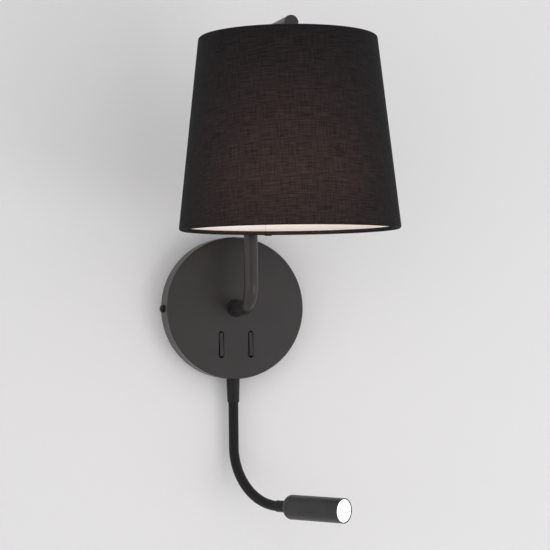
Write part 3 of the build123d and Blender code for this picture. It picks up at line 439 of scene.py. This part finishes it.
def cloth_profile():
    """Radius, height and length along the cloth of its turned edge: up the inside of the lower hem
    (run backwards), half round the lower ring, up the cone, half round the upper ring and down."""
    slope = (top_radius - bottom_radius) / shade_height
    half_turn = np.linspace(0, pi, RING_POINTS)
    round_ring = HEM_TURN * np.stack([np.cos(half_turn), np.sin(half_turn)], axis=-1)
    low_centre = (bottom_radius - HEM_TURN + slope * HEM_TURN, cloth_low.z + HEM_TURN)
    high_centre = (top_radius - HEM_TURN - slope * HEM_TURN, cloth_high.z - HEM_TURN)
    lower = low_centre - round_ring
    upper = high_centre + round_ring
    up = np.linspace(0, 1, SIDE_POINTS)[1:-1, None]
    side = lower[-1] + (upper[0] - lower[-1]) * up
    turned_in = np.array([slope, 1.0]) * (HEM_RISE - HEM_TURN)
    inner_low = lower[0] + turned_in * np.linspace(1, 0, HEM_POINTS)[:-1, None]
    inner_high = upper[-1] - turned_in * np.linspace(0, 1, HEM_POINTS)[1:, None]
    outline = np.concatenate([inner_low, lower, side, upper, inner_high])
    steps = np.linalg.norm(np.diff(outline, axis=0), axis=1)
    length = np.concatenate([[0], np.cumsum(steps)])
    return outline, length


def smooth(low, high, value):
    """Smooth step: three times the square less twice the cube of the share from low to high."""
    share = np.clip((value - low) / (high - low), 0, 1)
    return share * share * (3 - 2 * share)


def cloth_sheet():
    """The cloth as one sheet: the outline turned about the shade's axis, with the seam a little to
    the right of the middle of the back. It starts with the lap, which lies on the sheet's other end
    and so is lifted off the outline. UV is the place on the flat cut, in millimetres, from the
    distance to the cone's tip and the angle in the rolled-out sector."""
    outline, length = cloth_profile()
    along = np.gradient(outline, axis=0)
    outward = np.stack([along[:, 1], -along[:, 0]], axis=-1)
    outward /= np.linalg.norm(outward, axis=1, keepdims=True)
    lap = LAP_WIDTH / bottom_radius
    overlapping = np.linspace(-pi - lap, -pi, LAP_POINTS)[:-1]
    angle = np.concatenate([overlapping, np.linspace(-pi, pi, ROUND_POINTS)])
    lift = LAP_LIFT * (1 - smooth(-pi, LAP_SLOPE - pi, angle))
    radius = outline[:, :1] + outward[:, :1] * lift
    z = outline[:, 1:] + outward[:, 1:] * lift
    x = radius * np.sin(angle - SEAM_TURN)
    y = -SHADE_REACH - radius * np.cos(angle - SEAM_TURN)
    points = np.stack([x, y, z], axis=-1)
    slant = sqrt(shade_height**2 + (bottom_radius - top_radius) ** 2)
    opening = (bottom_radius - top_radius) / slant
    outer = bottom_radius / opening + HEM_TURN * pi
    far = (outer + HEM_RISE - HEM_TURN - length)[:, None] * MILLIMETRES
    turn = angle[None, :] * opening
    uv = np.stack([far * np.sin(turn), -far * np.cos(turn)], axis=-1)
    inner = outer - length[-1]
    half_sector = (pi + lap / 2) * opening
    cut = (2 * outer * sin(half_sector), outer - inner * cos(half_sector))
    area = half_sector * (outer**2 - inner**2)
    return grid_mesh("shade_cloth", points, uv), cut, area


def woven(tree, across, along):
    """Plain weave from two thread counts: where their whole parts add to an even number the first
    thread lies on top, and elsewhere the second, each rounded as half a sine. Height from 0 to 1."""
    whole_parts = [add(tree, "Math", {0: count}, operation="FLOOR") for count in (across, along)]
    whole = add(tree, "Math", {0: whole_parts[0], 1: whole_parts[1]}, operation="ADD")
    second_on_top = add(tree, "Math", {0: whole, 1: 1.0}, operation="PINGPONG")
    first_on_top = add(tree, "Math", {0: 1.0, 1: second_on_top}, operation="SUBTRACT")
    rounds = []
    for count in (across, along):
        part = add(tree, "Math", {0: count}, operation="FRACT")
        half_circle = add(tree, "Math", {0: part, 1: pi}, operation="MULTIPLY")
        rounds.append(add(tree, "Math", {0: half_circle}, operation="SINE"))
    first = add(tree, "Math", {0: rounds[0], 1: first_on_top}, operation="MULTIPLY")
    return add(tree, "Math", {0: rounds[1], 1: second_on_top, 2: first}, operation="MULTIPLY_ADD")


def black_cloth():
    """Woven cotton: plain weave, and thick and thin yarns as long streaks both ways. The lamp's light
    let through a little is painted on the cloth as a glow, most round the globe's lower half and
    where the yarns are thin. The threads stand up and hide more of that light at a slant, which the
    glow's clear tinted coat gives. They are drawn somewhat coarser than the real ones so that they
    still show."""
    made, tree, shader = new_material("black_cotton", Roughness=0.85, Specular_IOR_Level=0.15)
    flat = add(tree, "UVMap", uv_map="UVMap")
    threads = add(tree, "VectorMath", {0: flat, "Scale": 1 / THREAD_PITCH}, operation="SCALE")
    counts = add(tree, "SeparateXYZ", {0: threads}).node.outputs
    weave = woven(tree, counts["X"], counts["Y"])
    yarns = []
    for scale in ((YARN_LENGTHWAYS, YARN_ACROSS, 1.0), (YARN_ACROSS, YARN_LENGTHWAYS, 1.0)):
        drawn_out = add(tree, "Mapping", {"Vector": flat, "Scale": scale})
        uneven = {"Vector": drawn_out, "Scale": 1.0, "Detail": 3.0, "Roughness": 0.6}
        yarns.append(add(tree, "TexNoise", uneven))
    weft, warp = yarns
    weft_part = add(tree, "Math", {0: weft, 1: WEFT_SHARE}, operation="MULTIPLY")
    both_ways = {0: warp, 1: WARP_SHARE, 2: weft_part}
    streaks = add(tree, "Math", both_ways, operation="MULTIPLY_ADD")
    tone = add(tree, "Math", {0: weave, 1: 0.25, 2: streaks}, operation="MULTIPLY_ADD")
    share = add(tree, "MapRange", {"Value": tone, "From Min": 0.5, "From Max": 0.8})
    height = add(tree, "Math", {0: streaks, 1: 0.8, 2: weave}, operation="MULTIPLY_ADD")
    finish(shader, (share, CLOTH_DARK, CLOTH_LIGHT), relief=(height, THREAD_DEPTH, 0.55))

    # Painted light: an emission on the cloth for the lamp's light let through, brightest low down and
    # where the yarns are thin.
    place = add(tree, "TexCoord", output="Object")
    middle = cloth_low.z + shade_height * GLOW_HEIGHT
    z = add(tree, "SeparateXYZ", {0: place}, "Z")
    above = add(tree, "Math", {0: z, 1: middle}, operation="SUBTRACT")
    away = add(tree, "Math", {0: above}, operation="ABSOLUTE")
    fading = {"Value": away, "From Max": shade_height * GLOW_REACH, "To Min": 1.0, "To Max": GLOW_FAR}
    lit = add(tree, "MapRange", fading)
    thinness = {"Value": streaks}
    thinness["From Min"], thinness["From Max"] = YARN_THICK_THIN
    thinness["To Min"], thinness["To Max"] = YARN_PASSES
    thin = add(tree, "MapRange", thinness)
    passed = add(tree, "Math", {0: lit, 1: thin}, operation="MULTIPLY")
    glowing = {
        "Base Color": linear("000000"),
        "Specular IOR Level": 0.0,
        "Coat Weight": 1.0,
        "Coat IOR": 1.0,
        "Coat Tint": (GLOW_DEPTH, GLOW_DEPTH, GLOW_DEPTH, 1.0),
        "Emission Color": linear(GLOW_COLOUR),
        "Emission Strength": add(tree, "Math", {0: passed, 1: GLOW_POWER}, operation="MULTIPLY"),
    }
    both = add(tree, "AddShader", {0: shader.outputs[0], 1: add(tree, "BsdfPrincipled", glowing)})
    tree.links.new(both, tree.nodes["Material Output"].inputs["Surface"])
    return made


def lining_film():
    """White film lit by the lamp, with a warm painted glow for that light. It is faintly clouded by the
    glue, with its butted seam as a fine line where the cloth's seam is."""
    # The film's emission is painted light from the lamp.
    made, tree, shader = new_material("lining_film", Roughness=0.42, Emission_Strength=FILM_POWER)
    shader.inputs["Emission Color"].default_value = linear(FILM_GLOW)
    place = add(tree, "TexCoord", output="Object")
    clouds = add(tree, "TexNoise", {"Vector": place, "Scale": 1 / FILM_CLOUDS, "Detail": 3.0})
    turned = {"Vector": place, "Location": (0, -SHADE_REACH, 0), "Rotation": (0, 0, -SEAM_TURN)}
    from_axis = add(tree, "Mapping", turned, vector_type="TEXTURE")
    axes = add(tree, "SeparateXYZ", {0: from_axis}).node.outputs
    off_seam = add(tree, "Math", {0: axes["X"]}, operation="ABSOLUTE")
    at_back = add(tree, "Math", {0: axes["Y"], 1: 0.0}, operation="GREATER_THAN")
    seam_from, seam_to = FILM_SEAM_EDGES
    line = {"Value": off_seam, "From Min": seam_from, "From Max": seam_to, "To Min": 1.0, "To Max": 0.0}
    seam = add(tree, "Math", {0: add(tree, "MapRange", line), 1: at_back}, operation="MULTIPLY")
    glue = add(tree, "MapRange", {"Value": clouds, "From Min": 0.4, "From Max": 0.9, "To Max": 0.3})
    share = add(tree, "Math", {0: seam, 1: glue}, operation="MAXIMUM")
    finish(shader, (share, FILM_WHITE, FILM_SEAM))
    return made


def white_wire():
    """Powder-coated wire, off-white, a little thick and uneven at the welds."""
    made, tree, shader = new_material("wire_white", Roughness=0.4)
    place = add(tree, "TexCoord", output="Object")
    clouds = add(tree, "TexNoise", {"Vector": place, "Scale": 1 / WIRE_CLOUDS})
    finish(shader, (clouds, WIRE_SHADE, WIRE_WHITE), relief=(clouds, WIRE_DEPTH, 0.4))
    return made


shade_cloth, cloth_cut, cloth_area = cloth_sheet()
shell = shade_cloth.modifiers.new("thickness", "SOLIDIFY")
shell.thickness = CLOTH_THICKNESS
shell.offset = -1
shade_cloth.data.materials.append(black_cloth())
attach(shade_cloth, "root")
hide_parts("shade_fabric")
dress(lining_film(), "shade_lining")
dress(white_wire(), "shade_spider", "shade_bottom_ring")


# ---- neck ---------------------------------------------------------------------------------------
# A wound steel hose under a fine black braided sleeve. It runs straight down out of the ferrule,
# turns a quarter circle and ends in the spot head's cuff. Each length of sleeve lies over two links.
NECK_RADIUS = 0.0044
NECK_DEPTH = 0.0095
NECK_TURN = radians(32)
NECK_STRAIGHT = 0.0395
NECK_BEND = 0.05
PIVOT_INSET = 0.002
STRAIGHT_LINKS = 3
CURVED_LINKS = 7
SLEEVE_IN_FERRULE = 0.012
SLEEVE_IN_CUFF = 0.005
SLEEVE_RING_PITCH = 0.0011
SLEEVE_SIDES = 40
SLEEVE_CREASE = radians(50)
BLEND_INSET = 0.0007
BRAID_STRANDS = 26
BRAID_DEPTH = 0.0002
BRAID_DARK = "070608"
BRAID_LIGHT = "201e20"
FIBRE_SIZE = 0.0005

mouth_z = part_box("gooseneck_ferrule")[0].z


def neck_line(distance):
    """Points and directions of the neck's centre line at distances below the ferrule's mouth:
    straight down, then round a quarter circle that heads out and sideways, as the links under the
    sleeve do."""
    distance = np.atleast_1d(distance)
    angle = np.clip((distance - NECK_STRAIGHT) / NECK_BEND, 0, pi / 2)
    past = np.clip(distance - NECK_STRAIGHT - NECK_BEND * pi / 2, 0, None)
    out = NECK_BEND * (1 - np.cos(angle)) + past
    down = np.minimum(distance, NECK_STRAIGHT) + NECK_BEND * np.sin(angle)
    heading = np.array([sin(NECK_TURN), -cos(NECK_TURN), 0.0])
    points = out[:, None] * heading
    points[:, 1] -= NECK_DEPTH
    points[:, 2] = mouth_z - down
    directions = np.sin(angle)[:, None] * heading
    directions[:, 2] = -np.cos(angle)
    return points, directions


def neck_pivots():
    """Distances of the pivots, evenly down the straight part and evenly round the bend."""
    straight = np.linspace(-PIVOT_INSET, NECK_STRAIGHT, STRAIGHT_LINKS + 1)[:-1]
    bend = NECK_STRAIGHT + NECK_BEND * pi / 2 * np.linspace(0, 1, CURVED_LINKS + 1)
    return np.concatenate([straight, bend])


def sleeve(name, start, end):
    """A length of sleeve: rings round the centre line, each spanned by the bend's axis and its
    normal, and closed by a point at each end. UV runs round and along it in millimetres."""
    along = np.linspace(start, end, max(4, round((end - start) / SLEEVE_RING_PITCH)))
    turn = np.linspace(0, 2 * pi, SLEEVE_SIDES + 1)
    centres, directions = neck_line(along)
    side = np.array([cos(NECK_TURN), sin(NECK_TURN), 0.0])
    normal = np.cross(directions, side)
    rings = (
        centres[:, None]
        + NECK_RADIUS * np.cos(turn)[None, :, None] * side
        + NECK_RADIUS * np.sin(turn)[None, :, None] * normal[:, None]
    )
    poles = [np.broadcast_to(centres[end_row], rings[:1].shape) for end_row in (0, -1)]
    points = np.concatenate([poles[0], rings, poles[1]])
    lengths = np.concatenate([along[:1], along, along[-1:]])
    round_it = np.broadcast_to(turn * NECK_RADIUS, points.shape[:2])
    down_it = np.broadcast_to(lengths[:, None], points.shape[:2])
    uv = np.stack([round_it, down_it], axis=-1) * MILLIMETRES
    made = grid_mesh(name, points, uv, closed=True)
    made.data.set_sharp_from_angle(angle=SLEEVE_CREASE)
    return made


def braid():
    """Fine black braid: strands cross on both slants, each crossing one over one, with a painted
    dull highlight in patches on the tops of the strands. It is drawn coarser than the real braid so
    that it shows."""
    made, tree, shader = new_material("black_braid", Roughness=0.5, Specular_IOR_Level=0.3)
    pitch = 2 * MILLIMETRES * pi * NECK_RADIUS / BRAID_STRANDS
    flat = add(tree, "UVMap", uv_map="UVMap")
    strands = add(tree, "VectorMath", {0: flat, "Scale": 1 / pitch}, operation="SCALE")
    counts = add(tree, "SeparateXYZ", {0: strands}).node.outputs
    one_slant = add(tree, "Math", {0: counts["X"], 1: counts["Y"]}, operation="ADD")
    other_slant = add(tree, "Math", {0: counts["X"], 1: counts["Y"]}, operation="SUBTRACT")
    height = woven(tree, one_slant, other_slant)
    place = add(tree, "TexCoord", output="Object")
    fibres = add(tree, "TexNoise", {"Vector": place, "Scale": 1 / FIBRE_SIZE})
    # The tops of the strands are painted lighter in patches: a painted dull highlight.
    tops = add(tree, "MapRange", {"Value": height, "From Min": 0.45, "From Max": 1.0})
    highlight_patches = add(tree, "MapRange", {"Value": fibres, "From Min": 0.35, "From Max": 0.7})
    share = add(tree, "Math", {0: tops, 1: highlight_patches}, operation="MULTIPLY")
    finish(shader, (share, BRAID_DARK, BRAID_LIGHT), relief=(height, BRAID_DEPTH, 0.8))
    return made


black_braid = braid()
pivots = neck_pivots()
chain = ["root"] + [f"neck_{number:02d}" for number in range(1, 10)] + ["head"]
middles = (pivots[:-1] + pivots[1:]) / 2
starts = np.concatenate([[-SLEEVE_IN_FERRULE], middles[:-1]])
ends = np.concatenate([middles[:-1], [pivots[-1] + SLEEVE_IN_CUFF]])
blend_starts, _ = neck_line(np.concatenate([[0.0], middles[:-1] + BLEND_INSET]))
blend_ends, _ = neck_line(middles - BLEND_INSET)
for number in range(1, len(chain)):
    row = number - 1
    piece = sleeve(f"neck_sleeve_{number:02d}", starts[row], ends[row])
    piece.data.materials.append(black_braid)
    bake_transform(piece)
    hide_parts(f"gooseneck_link_{number:02d}")
    if number == 1:
        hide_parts("gooseneck_root")


# ---- spot head ----------------------------------------------------------------------------------
# A turned aluminium barrel with a black coat, a little finer and duller than on the steel. Inside
# are a bare aluminium plug, the light source on its board and a clear collimating lens, lit.
HEAD_DARK = "242325"
HEAD_LIGHT = "2c2b2d"
HEAD_GLOSS = (0.38, 0.46)
HEAD_CLOUDS = 0.02
HEAD_GRAIN = 0.0006
HEAD_GRAIN_DEPTH = 0.00002
PLUG_DARK = "a3a5a8"
PLUG_LIGHT = "c9cacc"
PLUG_MARKS = 0.0008
PLUG_DEPTH = 0.00002
SOURCE_YELLOW = "e3c34f"
SOURCE_POWER = 4.0
SOURCE_SPOTS = 0.0005
LENS_CLEAR = "eef4f4"
LENS_LIGHT = "f2fffb"
LENS_POWER = 3.5
LENS_RIM_POWER = 0.75
LENS_RIM = (0.0078, 0.0097)


def head_coat():
    """Black coat on turned metal: broad faint clouds, a fine grain and a dull gloss."""
    made, tree, shader = new_material("coat_black_fine")
    place = add(tree, "TexCoord", output="Object")
    clouds = add(tree, "TexNoise", {"Vector": place, "Scale": 1 / HEAD_CLOUDS, "Detail": 3.0})
    grain = add(tree, "TexNoise", {"Vector": place, "Scale": 1 / HEAD_GRAIN, "Detail": 1.0})
    share = add(tree, "MapRange", {"Value": clouds, "From Min": 0.35, "From Max": 0.65})
    relief = (grain, HEAD_GRAIN_DEPTH, 0.5)
    finish(shader, (share, HEAD_DARK, HEAD_LIGHT), (clouds, *HEAD_GLOSS), relief)
    return made


def turned_plug():
    """Bare turned aluminium with fine marks."""
    made, tree, shader = new_material("bare_turned", Metallic=1.0, Roughness=0.3)
    place = add(tree, "TexCoord", output="Object")
    marks = add(tree, "TexNoise", {"Vector": place, "Scale": 1 / PLUG_MARKS})
    finish(shader, (marks, PLUG_DARK, PLUG_LIGHT), relief=(marks, PLUG_DEPTH, 0.5))
    return made


def lit_source():
    """The light source: yellow phosphor under clear silicone, lit."""
    made, tree, shader = new_material("phosphor", Roughness=0.25, Emission_Strength=SOURCE_POWER)
    shader.inputs["Emission Color"].default_value = linear(LENS_LIGHT)
    place = add(tree, "TexCoord", output="Object")
    spots = add(tree, "TexNoise", {"Vector": place, "Scale": 1 / SOURCE_SPOTS})
    finish(shader, (spots, SOURCE_YELLOW, LENS_CLEAR))
    return made


def lit_lens():
    """The lens's face: full of light, fading a little at its moulded rim. The distance from the
    lens's axis is the length of the cross product of the axis and the way from its centre."""
    face_low, face_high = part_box("head_lens")
    centre = tuple((face_low + face_high) / 2)
    _, directions = neck_line(pivots[-1])
    made, tree, shader = new_material("lens_lit", Base_Color=linear(LENS_CLEAR), Roughness=0.12)
    place = add(tree, "TexCoord", output="Object")
    from_centre = add(tree, "VectorMath", {0: place, 1: centre}, operation="SUBTRACT")
    crossed = {0: from_centre, 1: tuple(directions[0])}
    off_axis = add(tree, "VectorMath", crossed, operation="CROSS_PRODUCT")
    rim_from, rim_to = LENS_RIM
    fading = {
        "Value": add(tree, "VectorMath", {0: off_axis}, "Value", operation="LENGTH"),
        "From Min": rim_from,
        "From Max": rim_to,
        "To Min": LENS_POWER,
        "To Max": LENS_RIM_POWER,
    }
    tree.links.new(add(tree, "MapRange", fading), shader.inputs["Emission Strength"])
    shader.inputs["Emission Color"].default_value = linear(LENS_LIGHT)
    return made


dress(head_coat(), "head_body")
dress(turned_plug(), "head_heatsink")
dress(lit_source(), "led_chip")
dress(lit_lens(), "head_lens")


# ---- wall, floor and light ----------------------------------------------------------------------
# A pale painted wall behind the lamp and a plain pale floor below it. Both are clear from behind,
# and the wall is open behind the canopy, so that the lamp's back is lit and shows. A large soft
# light stands in front to the right and a weaker one to the left.
WALL_PALE = "f6f5f7"
WALL_GAP = 0.0006
WALL_OPENING = 0.06
WALL_HALF = 3.0
WALL_TOP = 2.5
FLOOR_PALE = "e6e5e3"
FLOOR_DROP = 0.75
FLOOR_HALF = 6.0
KEY_PLACE = Vector((0.95, -1.3, -0.55))
KEY_SIZE = 0.9
KEY_POWER = 4.5
FILL_PLACE = Vector((-1.6, -0.9, -0.2))
FILL_SIZE = 1.0
FILL_POWER = 2.0
WORLD_POWER = 0.78
BACKDROP_POWER = 0.85
CAMERA_PLACE = Vector((-0.46944, -1.59388, -0.01013))
CAMERA_YAW = radians(17.84)
CAMERA_PITCH = radians(1.36)
CAMERA_ROLL = radians(-0.68)
FOCAL_LENGTH = 121.08
SENSOR_WIDTH = 36.0


def plain_sheet(name, corners, colour, opening=0.0):
    """A flat painted sheet, clear from behind. A round opening about the canopy's axis lets light
    reach what the canopy covers."""
    mesh = bpy.data.meshes.new(name)
    mesh.from_pydata(corners, [], [(0, 1, 2, 3)])
    made = bpy.data.objects.new(name, mesh)
    bpy.context.scene.collection.objects.link(made)
    material, tree, shader = new_material(name, Base_Color=linear(colour), Roughness=0.85)
    place = add(tree, "TexCoord", output="Object")
    across = add(tree, "VectorMath", {0: place, 1: (1.0, 0.0, 1.0)}, operation="MULTIPLY")
    off_axis = add(tree, "VectorMath", {0: across}, "Value", operation="LENGTH")
    inside = add(tree, "Math", {0: off_axis, 1: opening}, operation="LESS_THAN")
    behind = add(tree, "NewGeometry", output="Backfacing")
    clear_here = add(tree, "Math", {0: behind, 1: inside}, operation="MAXIMUM")
    clear = add(tree, "BsdfTransparent")
    either = add(tree, "MixShader", {0: clear_here, 1: shader.outputs[0], 2: clear})
    tree.links.new(either, tree.nodes["Material Output"].inputs["Surface"])
    mesh.materials.append(material)


wall_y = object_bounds()[1].y + WALL_GAP
wall_corners = [
    (-WALL_HALF, wall_y, -FLOOR_DROP),
    (WALL_HALF, wall_y, -FLOOR_DROP),
    (WALL_HALF, wall_y, WALL_TOP),
    (-WALL_HALF, wall_y, WALL_TOP),
]
floor_corners = [
    (-FLOOR_HALF, -FLOOR_HALF, -FLOOR_DROP),
    (FLOOR_HALF, -FLOOR_HALF, -FLOOR_DROP),
    (FLOOR_HALF, FLOOR_HALF, -FLOOR_DROP),
    (-FLOOR_HALF, FLOOR_HALF, -FLOOR_DROP),
]
plain_sheet("wall", wall_corners, WALL_PALE, opening=WALL_OPENING)
plain_sheet("floor", floor_corners, FLOOR_PALE)


def soft_light(name, place, size, power):
    """A round soft box that faces the canopy."""
    made = bpy.data.objects.new(name, bpy.data.lights.new(name, "AREA"))
    made.data.shape = "DISK"
    made.data.size = size
    made.data.energy = power
    made.location = place
    made.rotation_mode = "QUATERNION"
    made.rotation_quaternion = (-place).to_track_quat("-Z", "Y")
    bpy.context.scene.collection.objects.link(made)


soft_light("key_light", KEY_PLACE, KEY_SIZE, KEY_POWER)
soft_light("fill_light", FILL_PLACE, FILL_SIZE, FILL_POWER)

world = bpy.data.worlds.new("studio")
world.use_nodes = True
background = world.node_tree.nodes["Background"]
background.inputs["Color"].default_value = (1.0, 1.0, 1.0, 1.0)
seen = add(world.node_tree, "LightPath", output="Is Camera Ray")
sky = {"Value": seen, "To Min": WORLD_POWER, "To Max": BACKDROP_POWER}
world.node_tree.links.new(add(world.node_tree, "MapRange", sky), background.inputs["Strength"])
bpy.context.scene.world = world

camera = bpy.data.objects.new("camera", bpy.data.cameras.new("camera"))
camera.data.lens = FOCAL_LENGTH
camera.data.sensor_width = SENSOR_WIDTH
camera.data.clip_start = 0.05
camera.data.clip_end = 50.0
turn = (
    Matrix.Rotation(-CAMERA_YAW, 4, "Z")
    @ Matrix.Rotation(pi / 2 + CAMERA_PITCH, 4, "X")
    @ Matrix.Rotation(CAMERA_ROLL, 4, "Z")
)
camera.matrix_world = Matrix.Translation(CAMERA_PLACE) @ turn
bpy.context.scene.collection.objects.link(camera)
bpy.context.scene.camera = camera
bpy.context.scene.view_settings.view_transform = "Standard"
